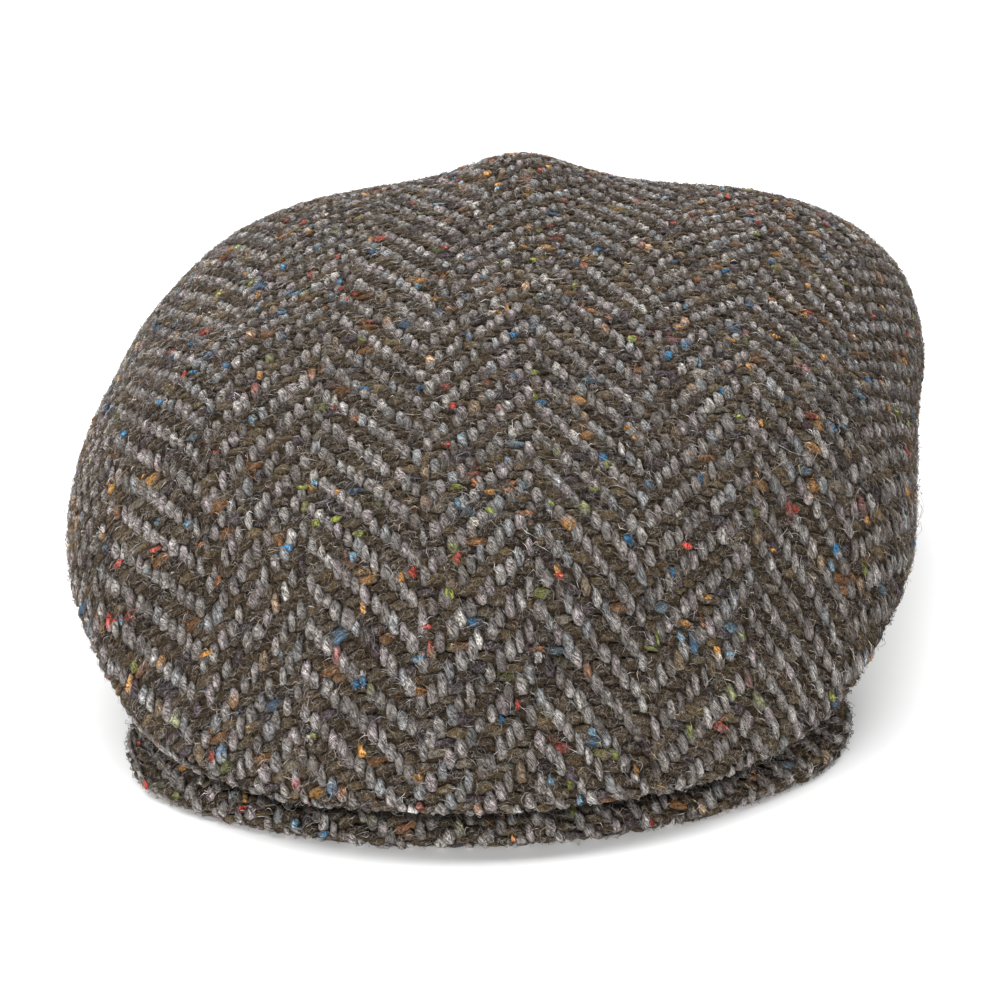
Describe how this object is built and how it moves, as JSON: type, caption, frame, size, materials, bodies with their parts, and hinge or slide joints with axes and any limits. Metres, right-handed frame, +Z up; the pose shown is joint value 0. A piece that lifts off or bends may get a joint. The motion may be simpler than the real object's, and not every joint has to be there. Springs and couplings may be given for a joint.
{
  "type": "flat cap",
  "caption": "Soft flat cap of herringbone tweed with a full crown that overhangs a side band and lies forward on a short stiff peak, open below for the head.",
  "frame": {"origin": "bottom centre of the cap's bounding box as it lies, on the surface that it rests on", "axes": "+Z up, -Y the way the peak points, +X to the right of someone who looks at the peak from in front"},
  "size_m": [0.2414, 0.2694, 0.0943],
  "materials": {
    "crown_tweed": "matte herringbone wool tweed with coloured flecks",
    "side_band_tweed": "matte herringbone wool tweed with coloured flecks",
    "peak_tweed": "matte herringbone wool tweed with coloured flecks, over a stiff peak"
  },
  "bodies": {
    "root": {"crown": "crown_tweed", "side_band": "side_band_tweed", "peak": "peak_tweed"}
  },
  "joints": []
}
